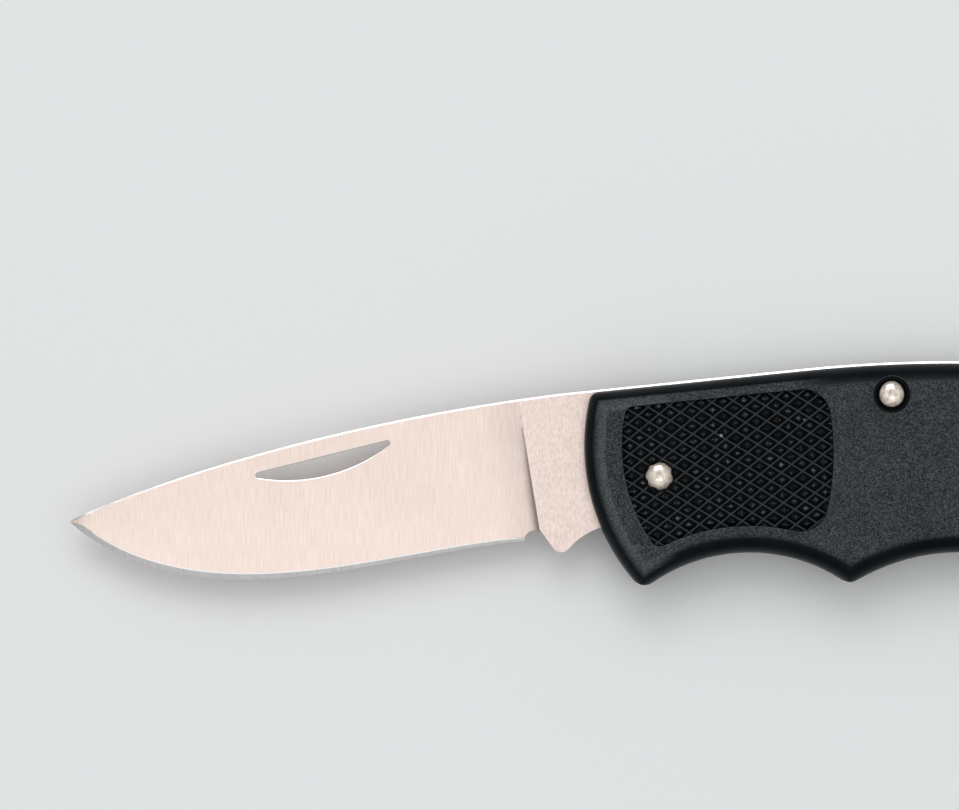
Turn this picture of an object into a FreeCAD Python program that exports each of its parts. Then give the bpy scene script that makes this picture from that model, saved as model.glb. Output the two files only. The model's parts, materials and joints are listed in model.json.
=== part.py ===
import FreeCAD, Part
import math
import os

# Working frame: the pivot is the origin, X runs to the tail, Y to the spine, Z is the thickness.
# The knife is modelled open, about its middle plane, and set on its back side at the end.

# Blade
blade_length = 85.4          # pivot to tip
blade_thickness = 2.4
tip_drop = 6.65              # tip below the pivot
tip_height = 0.3             # blunt end of the point
tip_thickness = 0.9          # spine thickness just behind the point
tip_slope = 0.2              # steepest slope of the grind, where the point thins out
belly_to_tip = 25.0          # deepest point of the edge, measured back from the tip
belly_drop = 15.03
heel_reach = 17.05           # lower end of the plunge line, where the edge would begin
heel_drop = 9.25
plunge_reach = 20.4          # upper end of the plunge line
plunge_width = 2.1           # run-out of the grind
heel_bevel = 0.6             # width of the sharpened bevel at the heel
tip_bevel = 1.15
sharpening_angle = 16.0      # degrees on each side
hollow_depth = 0.16          # how far the grind is hollowed below a flat
root_reach = 14.0            # where the blade's spine leaves the straight back of the tang
root_angle = 7.1             # degrees
heel_angle = 3.5
tip_spine_angle = 28.0
tip_edge_angle = 42.0
spine_root_pull = 0.55       # pull of each curve's end, as a share of the curve's length along X
spine_tip_pull = 0.086
heel_pull = 0.32
belly_heel_pull = 0.35
belly_tip_pull = 0.31
tip_edge_pull = 0.4
bevel_limit = 0.45           # most of a section's height that the bevel takes near the point
grind_sections = 14
plunge_sections = 5
spine_chamfer = 0.25         # broken edges along the back of the blade and the lock bar

# Thumbnail slot, a crescent through the blade
slot_to_tip = 25.67          # front end of the straight lip, measured back from the tip
slot_front_rise = 0.03       # that end above the pivot
slot_length = 22.4
slot_depth = 2.75
slot_angle = 14.0
slot_end_radius = 0.35

# Tang
choil_reach = 18.0
choil_drop = 9.4
choil_radius = 1.5
kick_reach = 14.2
kick_drop = 12.0
flank_drop = 7.75            # top of the slope from the choil to the kick
kick_radius = 1.35
choil_arc_radius = 11.0      # concave run from the kick to the flat under the tang
tang_flat_drop = 6.9
tang_radius = 9.0
closed_angle = 167.5         # degrees the blade turns from open to closed

# Lock bar
lock_pin_x = 33.64
lock_pin_y = 11.82
lug_offset = 1.34            # stop face of the lug, behind the pivot
lug_width = 2.7
lock_angle = 2.2             # degrees the bar turns to drop its lug into the tang
press_angle = 2.0            # degrees the tail can be pressed down
bar_front_depth = 5.4
bar_tail_depth = 4.4
bar_boss_wall = 1.7
bar_tail_margin = 9.0        # bar's end short of the handle's end
ride_gap = 0.15              # lug over the round of the tang
lug_clearance = 0.1
bar_relief = 1.7             # hollow of the bar over the tang
bar_side_clearance = 0.05
bar_end_gap = 0.6
spine_proud = 0.28           # steel back standing above the moulded sides

# Handle outline
spine_height = 13.1          # moulded back above the pivot
spine_angle = 5.82           # degrees
arch_start = 21.3
arch_radius = 208.0
droop_start = 46.0
tail_angle = 27.1            # slope of the back at the handle's end, degrees
front_reach = 10.85          # front of the handle, ahead of the pivot
front_y = 4.45               # height of the foremost point
front_radius = 30.3
groove_1_x = 13.12           # first finger groove: middle and top
groove_1_drop = 11.1
groove_1_radius = 24.8
groove_2_share = 0.377       # its middle, on the way from the first groove's to the handle's end
groove_2_drop = 11.05
groove_2_radius = 29.8
pommel_radius = 23.0
tail_cover = 9.5             # handle beyond the closed tip
guard_round = 2.2
front_round = 1.7
tail_round = 7.0
thumb_radius = 14.0          # cut-out over the lock bar's tail
thumb_depth = 2.8
thumb_to_bar_end = 8.5
thumb_round = 2.5

# Handle layers
scale_thickness = 3.9
edge_round = 3.2
liner_thickness = 0.9
liner_inset = 0.3
washer_thickness = 0.25
washer_radius = 5.5
axial_play = 0.03

# Grip panel
panel_front_margin = 5.4
panel_spine_margin = 2.6
panel_groove_margin = 3.9
panel_rear_x = 25.2
panel_rear_y = 3.3
panel_rear_radius = 38.0
panel_front_round = 1.4
panel_rear_round = 4.0
panel_recess = 1.6
panel_clearance = 0.08
panel_below_face = 0.15
checker_pitch = 1.78
checker_half_angle = 35.2
checker_tilt = 4.3
checker_depth = 0.55
checker_floor = 0.2
checker_land = 0.16

# Rivets
rivet_radius = 1.55
rivet_head_radius = 2.2
rivet_head_height = 1.45
rivet_rim = 0.85
rivet_dimple_radius = 0.38
rivet_dimple_depth = 0.2
rivet_counterbore = 0.45     # room round a head
rivet_bore_radius = 0.85
rivet_bore_depth = 5.0
rivet_end_gap = 0.1
press_clearance = 0.02
hole_clearance = 0.05
bushing_wall = 0.75
running_clearance = 0.03

# Tail spacer and spring
spacer_length = 24.0
spacer_blade_clearance = 1.2
spacer_edge_room = 2.3       # room for the round of the edge over its chord
spacer_rivet_inset = 12.5
spring_reach = 15.0
spring_grip = 6.5
spring_thickness = 0.9
spring_cover = 1.3
spring_touch = 0.02
press_margin = 0.5           # left under the bar's tail when it is pressed

Vector = FreeCAD.Vector
UP = Vector(0, 0, 1)


# Plane geometry

def turned(x, y, degrees):
    angle = math.radians(degrees)
    return Vector(x * math.cos(angle) - y * math.sin(angle), x * math.sin(angle) + y * math.cos(angle), 0)


def direction(degrees):
    return turned(1, 0, degrees)


def circles_meet(centre, radius, other, other_radius, side):
    # side is 1 for the crossing left of the way from centre to other, -1 for the one on the right
    way = other - centre
    along = (way.Length ** 2 + radius ** 2 - other_radius ** 2) / (2 * way.Length)
    across = math.sqrt(radius ** 2 - along ** 2)
    way.normalize()
    return centre + way * along + Vector(-way.y, way.x, 0) * across * side


def line_meets_circle(start, way, centre, radius, side):
    # side is -1 for the first crossing along the way, 1 for the second
    to_centre = centre - start
    along = to_centre.dot(way)
    off = to_centre - way * along
    return start + way * (along + side * math.sqrt(radius ** 2 - off.Length ** 2))


def line(start, end):
    return Part.LineSegment(start, end).toShape()


def arc(start, end, centre):
    middle = (start + end) * 0.5 - centre
    middle.normalize()
    return Part.Arc(start, centre + middle * (start - centre).Length, end).toShape()


def run(start, end, centre=None):
    # One stretch of an outline: straight, or an arc about a centre
    return (start, end, centre)


def edge_of(stretch):
    start, end, centre = stretch
    return line(start, end) if centre is None else arc(start, end, centre)


def plate(edges, low, high):
    face = Part.Face(Part.Wire(Part.__sortEdges__(edges)))
    face.translate(UP * low)
    return face.extrude(UP * (high - low))


def disc(centre, radius, low, high):
    return Part.makeCylinder(radius, high - low, centre + UP * low)


def block(x_low, x_high, y_low, y_high, low, high):
    return Part.makeBox(x_high - x_low, y_high - y_low, high - low, Vector(x_low, y_low, low))


def sector(circle, start, end, low, high, half):
    # Curved strip of a given half width about a circle, between two points on it
    out = start - circle.Center
    out.normalize()
    back = end - circle.Center
    back.normalize()
    outer = circle.Radius + half
    inner = circle.Radius - half
    centre = circle.Center
    edges = [
        arc(centre + out * outer, centre + back * outer, centre),
        line(centre + back * outer, centre + back * inner),
        arc(centre + back * inner, centre + out * inner, centre),
        line(centre + out * inner, centre + out * outer),
    ]
    return plate(edges, low, high)


def rounded(solid, corners, radius):
    # Rounds the upright edges that stand on the given plan points
    chosen = []
    for edge in solid.Edges:
        ends = [vertex.Point for vertex in edge.Vertexes]
        if len(ends) != 2 or abs(ends[0].x - ends[1].x) + abs(ends[0].y - ends[1].y) > 1e-6:
            continue
        if any(math.hypot(ends[0].x - c.x, ends[0].y - c.y) < 1e-3 for c in corners):
            chosen.append(edge)
    return solid.makeFillet(radius, chosen)


def broken(solid, points):
    # Chamfers the edges of the two faces whose ends both stand on the given plan points
    chosen = []
    for edge in solid.Edges:
        ends = [vertex.Point for vertex in edge.Vertexes]
        if len(ends) != 2 or abs(ends[0].z - ends[1].z) > 1e-6:
            continue
        if all(any(math.hypot(e.x - p.x, e.y - p.y) < 1e-3 for p in points) for e in ends):
            chosen.append(edge)
    return solid.makeChamfer(spine_chamfer, chosen)


def mirrored(solid):
    return solid.mirror(Vector(0, 0, 0), UP)


# Places worked out from the sizes above

pivot = Vector(0, 0, 0)
lock_pin = Vector(lock_pin_x, lock_pin_y, 0)
blade_half = blade_thickness / 2
channel_half = blade_half + axial_play + washer_thickness
liner_face = channel_half + liner_thickness
scale_face = liner_face + scale_thickness
rivet_seat = scale_face - panel_recess
bushing_radius = rivet_radius + hole_clearance + bushing_wall

tip = Vector(-blade_length, -tip_drop, 0)
belly = Vector(-blade_length + belly_to_tip, -belly_drop, 0)
tip_radius = tip.Length
closed_tip = turned(tip.x, tip.y, closed_angle)
closed_belly = turned(belly.x, belly.y, closed_angle)
front_x = front_radius - front_reach
handle_end = closed_tip.x + tail_cover
lug_reach = lock_pin_x - lug_offset
bar_front = lug_offset - lug_width
bar_end = handle_end - bar_tail_margin
spacer_front = handle_end - spacer_length
press_room = (bar_end - lock_pin_x) * math.sin(math.radians(press_angle)) + press_margin
cut_over = liner_thickness   # reach of a cutting shape past the face it cuts

# The second groove runs smoothly into the pommel
groove_2_x = groove_1_x + (handle_end - groove_1_x) * groove_2_share
spread = groove_2_radius + pommel_radius
pommel = Vector(handle_end - pommel_radius, -groove_2_drop - groove_2_radius, 0)
pommel.y += math.sqrt(spread ** 2 - (pommel.x - groove_2_x) ** 2)

back_way = direction(spine_angle)
back_in = Vector(back_way.y, -back_way.x, 0)
arch_point = Vector(arch_start, spine_height + arch_start * math.tan(math.radians(spine_angle)), 0)
arch_centre = arch_point + back_in * arch_radius
droop_out = Vector(droop_start - arch_centre.x, 0, 0)
droop_out.y = math.sqrt(arch_radius ** 2 - droop_out.x ** 2)
droop_out.normalize()
droop_radius = (handle_end - droop_start) / (math.sin(math.radians(tail_angle)) - droop_out.x)
droop_centre = arch_centre + droop_out * (arch_radius - droop_radius)


def spine_knots(inset):
    # Where the back, moved in by the inset, turns from straight to arch and from arch to droop
    reach = arch_radius - inset
    return [arch_centre - back_in * reach, arch_centre + droop_out * reach]


def spine_point(x, inset):
    bend, droop = spine_knots(inset)
    if x <= bend.x:
        return bend + back_way * ((x - bend.x) / back_way.x)
    centre, radius = (arch_centre, arch_radius) if x <= droop.x else (droop_centre, droop_radius)
    return Vector(x, centre.y + math.sqrt((radius - inset) ** 2 - (x - centre.x) ** 2), 0)


def spine_runs(x_from, x_to, inset):
    # The back from tail to front, as stretches
    bend, droop = spine_knots(inset)
    stops = [x_to] + [k.x for k in (droop, bend) if x_from < k.x < x_to] + [x_from]
    centres = []
    for end in stops[1:]:
        if end < bend.x:
            centres.append(None)
        elif end < droop.x:
            centres.append(arch_centre)
        else:
            centres.append(droop_centre)
    points = [spine_point(x, inset) for x in stops]
    return [run(a, b, c) for a, b, c in zip(points, points[1:], centres)]


def spine_band(outer, inner, x_from, x_to, low, high):
    top = spine_runs(x_from, x_to, outer)
    under = spine_runs(x_from, x_to, inner)
    ends = [run(top[0][0], under[0][0]), run(top[-1][1], under[-1][1])]
    return plate([edge_of(r) for r in top + under + ends], low, high)


# Handle outline

def handle_outline(inset):
    # Stretches between corners, counter-clockwise, and the corners themselves
    front = Vector(front_x, front_y, 0)
    groove_1 = Vector(groove_1_x, -groove_1_drop - groove_1_radius, 0)
    groove_2 = Vector(groove_2_x, -groove_2_drop - groove_2_radius, 0)
    front_r = front_radius - inset
    groove_1_r = groove_1_radius + inset
    groove_2_r = groove_2_radius + inset
    pommel_r = pommel_radius - inset
    droop_r = droop_radius - inset
    thumb = spine_point(bar_end - thumb_to_bar_end, thumb_depth - thumb_radius)
    thumb_r = thumb_radius + inset

    bend = spine_knots(inset)[0]
    nose = line_meets_circle(bend, back_way, front, front_r, -1)
    guard_1 = circles_meet(front, front_r, groove_1, groove_1_r, -1)
    guard_2 = circles_meet(groove_1, groove_1_r, groove_2, groove_2_r, 1)
    sway = groove_2 + (pommel - groove_2) * (groove_2_r / spread)
    butt = circles_meet(droop_centre, droop_r, pommel, pommel_r, -1)
    thumb_back = circles_meet(droop_centre, droop_r, thumb, thumb_r, -1)
    thumb_front = circles_meet(droop_centre, droop_r, thumb, thumb_r, 1)

    stretches = [
        [run(nose, guard_1, front)],
        [run(guard_1, guard_2, groove_1)],
        [run(guard_2, sway, groove_2), run(sway, butt, pommel)],
        [run(butt, thumb_back, droop_centre)],
        [run(thumb_back, thumb_front, thumb)],
        spine_runs(nose.x, thumb_front.x, inset),
    ]
    corners = {
        "nose": [nose],
        "guards": [guard_1, guard_2],
        "butt": [butt],
        "thumb": [thumb_back, thumb_front],
    }
    return stretches, corners


def handle_plate(inset, low, high):
    stretches, corners = handle_outline(inset)
    solid = plate([edge_of(r) for stretch in stretches for r in stretch], low, high)
    solid = rounded(solid, corners["nose"], front_round)
    solid = rounded(solid, corners["guards"], guard_round)
    solid = rounded(solid, corners["butt"], tail_round)
    return rounded(solid, corners["thumb"], thumb_round)


def round_over(stretch, face_height):
    # Tools that round one stretch of the outer edge, run on straight past its corners
    reach = edge_round + guard_round
    tools = []

    def profile(at, way):
        inward = Vector(-way.y, way.x, 0)
        low = at + UP * (face_height - edge_round)
        high = at + inward * edge_round + UP * face_height
        middle = high - UP * edge_round
        bow = (low - middle) + (high - middle)
        bow.normalize()
        corners = [
            high,
            high + UP * cut_over,
            low - inward * cut_over + UP * (edge_round + cut_over),
            low - inward * cut_over,
            low,
        ]
        edges = [line(a, b) for a, b in zip(corners, corners[1:])]
        edges.append(Part.Arc(low, middle + bow * edge_round, high).toShape())
        return Part.Face(Part.Wire(Part.__sortEdges__(edges)))

    def heading(at, stretch_run):
        start, end, centre = stretch_run
        if centre is None:
            way = end - start
        else:
            out = at - centre
            way = Vector(-out.y, out.x, 0)
            if way.dot(end - start) < 0:
                way = way * -1
        way.normalize()
        return way

    for stretch_run in stretch:
        start, end, centre = stretch_run
        section = profile(start, heading(start, stretch_run))
        if centre is None:
            tools.append(section.extrude(end - start))
        else:
            a = start - centre
            b = end - centre
            angle = math.degrees(math.atan2(a.x * b.y - a.y * b.x, a.dot(b)))
            tools.append(section.revolve(centre, UP, angle))
    first = heading(stretch[0][0], stretch[0])
    last = heading(stretch[-1][1], stretch[-1])
    tools.append(profile(stretch[0][0], first).extrude(first * -reach))
    tools.append(profile(stretch[-1][1], last).extrude(last * reach))
    return tools


# Grip panel

def panel_plate(inset, low, high):
    front = Vector(front_x, front_y, 0)
    front_r = front_radius - panel_front_margin - inset
    groove = Vector(groove_1_x, -groove_1_drop - groove_1_radius, 0)
    groove_r = groove_1_radius + panel_groove_margin + inset
    rear = Vector(panel_rear_x - panel_rear_radius, panel_rear_y, 0)
    rear_r = panel_rear_radius - inset
    back = spine_point(0, panel_spine_margin + inset)

    top_front = line_meets_circle(back, back_way, front, front_r, -1)
    top_rear = line_meets_circle(back, back_way, rear, rear_r, 1)
    low_front = circles_meet(front, front_r, groove, groove_r, -1)
    low_rear = circles_meet(rear, rear_r, groove, groove_r, 1)
    edges = [
        arc(top_front, low_front, front),
        arc(low_front, low_rear, groove),
        arc(low_rear, top_rear, rear),
        line(top_rear, top_front),
    ]
    solid = plate(edges, low, high)
    solid = rounded(solid, [top_front, low_front], panel_front_round - inset)
    return rounded(solid, [top_rear, low_rear], panel_rear_round - inset)


def checker_grooves(degrees, face, centre, span):
    # One family of V grooves with narrow flat floors, side by side across the panel
    way = direction(degrees)
    across = Vector(-way.y, way.x, 0)
    floor_half = checker_floor / 2
    mouth_half = (checker_pitch - checker_land) / 2
    lean = (mouth_half - floor_half) / checker_depth
    count = int(span / checker_pitch)
    grooves = []
    for step in range(-count, count + 1):
        start = centre + across * (step * checker_pitch) - way * span + UP * (face - checker_depth)
        top_half = floor_half + lean * (checker_depth + cut_over)
        rise = UP * (checker_depth + cut_over)
        corners = [
            start - across * floor_half,
            start + across * floor_half,
            start + across * top_half + rise,
            start - across * top_half + rise,
        ]
        outline = Part.makePolygon(corners + corners[:1])
        grooves.append(Part.Face(outline).extrude(way * (2 * span)))
    return grooves


def grip_panel():
    face = scale_face - panel_below_face
    solid = panel_plate(panel_clearance, rivet_seat, face)
    box = solid.BoundBox
    centre = Vector(box.Center.x, box.Center.y, 0)
    span = math.hypot(box.XLength, box.YLength) / 2
    for degrees in (checker_tilt + checker_half_angle, checker_tilt - checker_half_angle):
        solid = solid.cut(checker_grooves(degrees, face, centre, span))
    room = rivet_head_radius + panel_clearance
    return solid.cut(disc(pivot, room, rivet_seat, scale_face))


# Moulded sides and steel liners

def tail_rivet_place():
    x = spacer_front + spacer_rivet_inset
    under_bar = spine_point(x, bar_tail_depth + press_room).y
    low_start, low_way = spacer_low_line()
    over_blade = low_start.y + low_way.y * (x - low_start.x) / low_way.x
    return Vector(x, (under_bar + over_blade) / 2, 0)


def spacer_low_line():
    # Underside of the spacer: along the closed blade's edge, clear of it
    way = closed_tip - closed_belly
    way.normalize()
    out = Vector(-way.y, way.x, 0)
    return closed_belly + out * (spacer_edge_room + spacer_blade_clearance), way


def side_scale():
    solid = handle_plate(0, liner_face, scale_face)
    stretches = handle_outline(0)[0]
    for stretch in stretches:
        for tool in round_over(stretch, scale_face):
            solid = solid.cut(tool)
    above = scale_face + cut_over
    solid = solid.cut(panel_plate(0, rivet_seat, above))
    for place in (pivot, lock_pin, tail_rivet_place()):
        solid = solid.cut(disc(place, rivet_radius + hole_clearance, liner_face - cut_over, above))
        solid = solid.cut(disc(place, rivet_head_radius + rivet_counterbore, rivet_seat, above))
    return solid


def side_liner():
    solid = handle_plate(liner_inset, channel_half, liner_face)
    for place in (pivot, lock_pin, tail_rivet_place()):
        solid = solid.cut(disc(place, rivet_radius + hole_clearance, 0, liner_face + cut_over))
    return solid


# Rivets, bushings and washers

def rivet_head(shank_edges):
    # Domed head with a dimple, revolved with whatever is below its seat
    crown = rivet_head_height - rivet_rim
    ball = (rivet_head_radius ** 2 + crown ** 2) / (2 * crown)
    ball_z = rivet_seat + rivet_head_height - ball
    lip_z = ball_z + math.sqrt(ball ** 2 - rivet_dimple_radius ** 2)
    crown_x = (rivet_dimple_radius + rivet_head_radius) / 2
    crown_middle = Vector(crown_x, 0, ball_z + math.sqrt(ball ** 2 - crown_x ** 2))
    rim_low = Vector(rivet_head_radius, 0, rivet_seat)
    rim_high = Vector(rivet_head_radius, 0, rivet_seat + rivet_rim)
    lip = Vector(rivet_dimple_radius, 0, lip_z)
    pit = Vector(0, 0, lip_z - rivet_dimple_depth)
    edges = [line(rim_low, rim_high), Part.Arc(rim_high, crown_middle, lip).toShape(), line(lip, pit)]
    points = [pit] + shank_edges + [rim_low]
    edges += [line(a, b) for a, b in zip(points, points[1:])]
    face = Part.Face(Part.Wire(Part.__sortEdges__(edges)))
    return face.revolve(pivot, UP, 360)


def rivet_post():
    end = -rivet_seat + rivet_end_gap
    bore_top = end + rivet_bore_depth
    return rivet_head([
        Vector(0, 0, bore_top),
        Vector(rivet_bore_radius, 0, bore_top),
        Vector(rivet_bore_radius, 0, end),
        Vector(rivet_radius, 0, end),
        Vector(rivet_radius, 0, rivet_seat),
    ])


def rivet_cap():
    spigot = rivet_bore_radius - press_clearance
    end = rivet_seat - rivet_bore_depth
    return mirrored(rivet_head([
        Vector(0, 0, end),
        Vector(spigot, 0, end),
        Vector(spigot, 0, rivet_seat),
    ]))


def ring(inner, outer, low, high):
    return disc(pivot, outer, low, high).cut(disc(pivot, inner, low - cut_over, high + cut_over))


def at(place, solid):
    moved = solid.copy()
    moved.translate(place)
    return moved


# Blade

def bezier(start, start_way, start_pull, end, end_way, end_pull):
    length = start.x - end.x
    curve = Part.BezierCurve()
    first = start + start_way * (length * start_pull)
    second = end + end_way * (length * end_pull)
    curve.setPoles([start, first, second, end])
    return curve


def blade_curves():
    # Spine from the root to the point, and the edge from the heel over the belly to the point
    root = spine_point(-root_reach, -spine_proud)
    top = tip + Vector(0, tip_height / 2, 0)
    low = tip - Vector(0, tip_height / 2, 0)
    heel = Vector(-heel_reach, -heel_drop, 0)
    level = Vector(1, 0, 0)
    spine = bezier(root, direction(180 + root_angle), spine_root_pull,
                   top, direction(tip_spine_angle), spine_tip_pull)
    heel_edge = bezier(heel, direction(180 + heel_angle), heel_pull, belly, level, belly_heel_pull)
    tip_edge = bezier(belly, level * -1, belly_tip_pull, low, direction(-tip_edge_angle), tip_edge_pull)
    return spine, heel_edge, tip_edge


def height_on(curve, x):
    # Point of a curve at a given X, found by halving
    low = curve.FirstParameter
    high = curve.LastParameter
    for _ in range(50):
        middle = (low + high) / 2
        if curve.value(middle).x > x:
            low = middle
        else:
            high = middle
    return curve.value(low)


def blade_section(top, low, back_half, bevel, shoulder_half):
    # Hollow-ground section standing on the line from spine to edge, with the back's edges broken
    up = top - low
    height = up.Length
    up.normalize()
    shoulder = low + up * bevel
    chamfer = min(spine_chamfer, (height - bevel) / 2, back_half / 2)
    under = top - up * chamfer
    middle = (under + shoulder) * 0.5
    sag = hollow_depth * min(1, height / (belly_drop + tip_drop))
    middle_half = (back_half + shoulder_half) / 2 - sag
    corners = [
        top + UP * (back_half - chamfer),
        under + UP * back_half,
        shoulder + UP * shoulder_half,
        low,
        shoulder - UP * shoulder_half,
        under - UP * back_half,
        top - UP * (back_half - chamfer),
    ]
    edges = [
        line(corners[0], corners[1]),
        Part.Arc(corners[1], middle + UP * middle_half, corners[2]).toShape(),
        line(corners[2], corners[3]),
        line(corners[3], corners[4]),
        Part.Arc(corners[4], middle - UP * middle_half, corners[5]).toShape(),
        line(corners[5], corners[6]),
        line(corners[6], corners[0]),
    ]
    return Part.Wire(edges)


def blade_blank(plunge_top, plunge_low):
    # Ground part of the blade, lofted from the plunge line to the point
    spine, heel_edge, tip_edge = blade_curves()
    sections = []
    run_top = plunge_top.x - plunge_width
    run_low = plunge_low.x - plunge_width
    for step in range(grind_sections + 1):
        share = step / grind_sections
        share = share * (2 - share) if step else 0
        x_top = run_top + (tip.x - run_top) * share
        x_low = run_low + (tip.x - run_low) * share
        top = height_on(spine, x_top)
        low = height_on(heel_edge if x_low > belly.x else tip_edge, x_low)
        back_half = blade_half + (tip_thickness / 2 - blade_half) * share
        bevel = heel_bevel + (tip_bevel - heel_bevel) * share
        height = (top - low).Length
        bevel = min(bevel, height * bevel_limit)
        shoulder_half = bevel * math.tan(math.radians(sharpening_angle))
        back_half = min(back_half, shoulder_half + (height - bevel) * tip_slope)
        sections.append(blade_section(top, low, back_half, bevel, shoulder_half))
    ground = Part.makeLoft(sections, True, False)
    coves = []
    heel_half = heel_bevel * math.tan(math.radians(sharpening_angle))
    for step in range(plunge_sections):
        share = (step / plunge_sections) ** 2
        depth = math.sqrt(share * (2 - share))
        top = height_on(spine, plunge_top.x - plunge_width * share)
        low = height_on(heel_edge, plunge_low.x - plunge_width * share)
        shoulder_half = blade_half + (heel_half - blade_half) * depth
        coves.append(blade_section(top, low, blade_half, heel_bevel, shoulder_half))
    run_out = Part.makeLoft(coves + sections[:1], True, False)
    return [ground, run_out]


def tang_plate(plunge_top, plunge_low):
    # Flat stock behind the plunge line: kick, hollow under the tang, round of the pivot end, stop face
    lug_front = lug_reach + lug_clearance
    flank_share = (plunge_top.y + flank_drop) / (plunge_top.y - plunge_low.y)
    flank_top = plunge_top + (plunge_low - plunge_top) * flank_share
    kick = Vector(-kick_reach, -kick_drop, 0)
    hollow_rise = choil_arc_radius - (kick_drop - tang_flat_drop)
    hollow_run = math.sqrt(choil_arc_radius ** 2 - hollow_rise ** 2)
    hollow = Vector(hollow_run - kick_reach, -tang_flat_drop - choil_arc_radius, 0)
    flat_front = Vector(hollow.x, -tang_flat_drop, 0)
    flat_rear = Vector(math.sqrt(tang_radius ** 2 - tang_flat_drop ** 2), -tang_flat_drop, 0)
    back = spine_point(0, -spine_proud)
    stop_top = line_meets_circle(back, back_way, lock_pin, lug_front, -1)
    stop_low = circles_meet(pivot, tang_radius, lock_pin, lug_front, 1)
    root = spine_point(-root_reach, -spine_proud)
    edges = [
        line(plunge_top, flank_top),
        line(flank_top, kick),
        arc(kick, flat_front, hollow),
        line(flat_front, flat_rear),
        arc(flat_rear, stop_low, pivot),
        arc(stop_low, stop_top, lock_pin),
        line(stop_top, root),
        line(root, plunge_top),
    ]
    solid = rounded(plate(edges, -blade_half, blade_half), [kick], kick_radius)
    return broken(solid, [stop_top, root, plunge_top])


def lug_ring(front, rear, half):
    # Curved tooth about the lock pin, from above the back of the knife down past the tang's round
    outer = disc(lock_pin, front, -half, half).cut(disc(lock_pin, rear, -half, half))
    return outer.common(block(bar_front, lock_pin_x / 2, 0, spine_height, -half, half))


def slot_cut():
    # Straight upper lip, curved lower lip, rounded ends
    way = direction(180 + slot_angle)
    down = Vector(-way.y, way.x, 0)
    end = Vector(slot_to_tip - blade_length, slot_front_rise, 0)
    start = end - way * slot_length
    low = start + way * (slot_length / 2) + down * slot_depth
    edges = [line(start, end), Part.Arc(end, low, start).toShape()]
    return rounded(plate(edges, -blade_thickness, blade_thickness), [start, end], slot_end_radius)


def blade():
    through = blade_thickness
    plunge_top = height_on(blade_curves()[0], -plunge_reach)
    plunge_low = Vector(-heel_reach, -heel_drop, 0)
    solid = tang_plate(plunge_top, plunge_low)
    for ground in blade_blank(plunge_top, plunge_low):
        solid = solid.fuse(ground)
    solid = solid.removeSplitter()
    choil = Vector(-choil_reach, -choil_drop, 0)
    solid = solid.cut(disc(choil, choil_radius, -through, through))
    drop = lug_reach * math.sin(math.radians(lock_angle))
    notch_floor = tang_radius + ride_gap - drop - lug_clearance
    notch = lug_ring(lug_reach + lug_clearance, lug_reach - lug_width - lug_clearance, through)
    solid = solid.cut(notch.cut(disc(pivot, notch_floor, -through, through)))
    solid = solid.cut(slot_cut())
    return solid.cut(disc(pivot, bushing_radius + running_clearance, -through, through))


# Lock bar, spacer and spring

def lock_bar():
    half = channel_half - bar_side_clearance
    solid = spine_band(-spine_proud, bar_tail_depth, bar_front, bar_end, -half, half)
    solid = solid.fuse(spine_band(-spine_proud, bar_front_depth, bar_front, lock_pin_x, -half, half))
    bore = bushing_radius + running_clearance
    solid = solid.fuse(disc(lock_pin, bore + bar_boss_wall, -half, half))
    solid = solid.cut(disc(pivot, tang_radius + bar_relief, -half, half))
    solid = solid.fuse(lug_ring(lug_reach, lug_reach - lug_width, half))
    beyond = block(bar_front - tang_radius, lock_pin_x, 0, 2 * spine_height, -half, half)
    solid = solid.cut(beyond.cut(disc(lock_pin, lug_reach, -half, half)))
    solid = solid.cut(disc(pivot, tang_radius + ride_gap, -half, half))
    solid = solid.cut(disc(lock_pin, bore, -half, half)).removeSplitter()
    bend, droop = spine_knots(-spine_proud)
    front = line_meets_circle(bend, back_way, lock_pin, lug_reach, -1)
    return broken(solid, [front, bend, droop, spine_point(bar_end, -spine_proud)])


def spring_circle():
    half = spring_thickness / 2
    root_inset = bar_tail_depth + press_room + spring_cover + half
    touch = spine_point(spacer_front - spring_reach, bar_tail_depth + spring_touch + half)
    mouth = spine_point(spacer_front, root_inset)
    inside = spine_point(spacer_front + spring_grip, root_inset)
    return Part.Circle(touch, mouth, inside), touch, inside


def lock_spring():
    half = channel_half - bar_side_clearance
    circle, touch, inside = spring_circle()
    return sector(circle, touch, inside, -half, half, spring_thickness / 2)


def tail_spacer():
    # Fills the tail between the liners, less the bar's room, the blade's sweep and the spring's slot
    far = 2 * blade_length
    half = channel_half
    solid = handle_plate(liner_inset, -half, half)
    solid = solid.cut(block(-far, spacer_front, -far, far, -half, half))
    solid = solid.cut(block(-far, far, -far, closed_tip.y, -half, half))
    bar_room = bar_tail_depth + press_room
    solid = solid.cut(spine_band(-thumb_radius, bar_room, 0, bar_end + bar_end_gap, -half, half))
    low_start, low_way = spacer_low_line()
    down = Vector(low_way.y, -low_way.x, 0)
    corners = [low_start - low_way * far, low_start + low_way * far]
    corners += [corners[1] + down * far, corners[0] + down * far]
    under = plate([line(a, b) for a, b in zip(corners, corners[1:] + corners[:1])], -half, half)
    swept = disc(pivot, tip_radius + spacer_blade_clearance, -half, half)
    solid = solid.cut(swept.common(under))
    circle, touch, inside = spring_circle()
    solid = solid.cut(sector(circle, touch, inside, -half, half, spring_thickness / 2 + press_clearance))
    return solid.cut(disc(tail_rivet_place(), rivet_radius + hole_clearance, -half, half))


# Assembly

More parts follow.
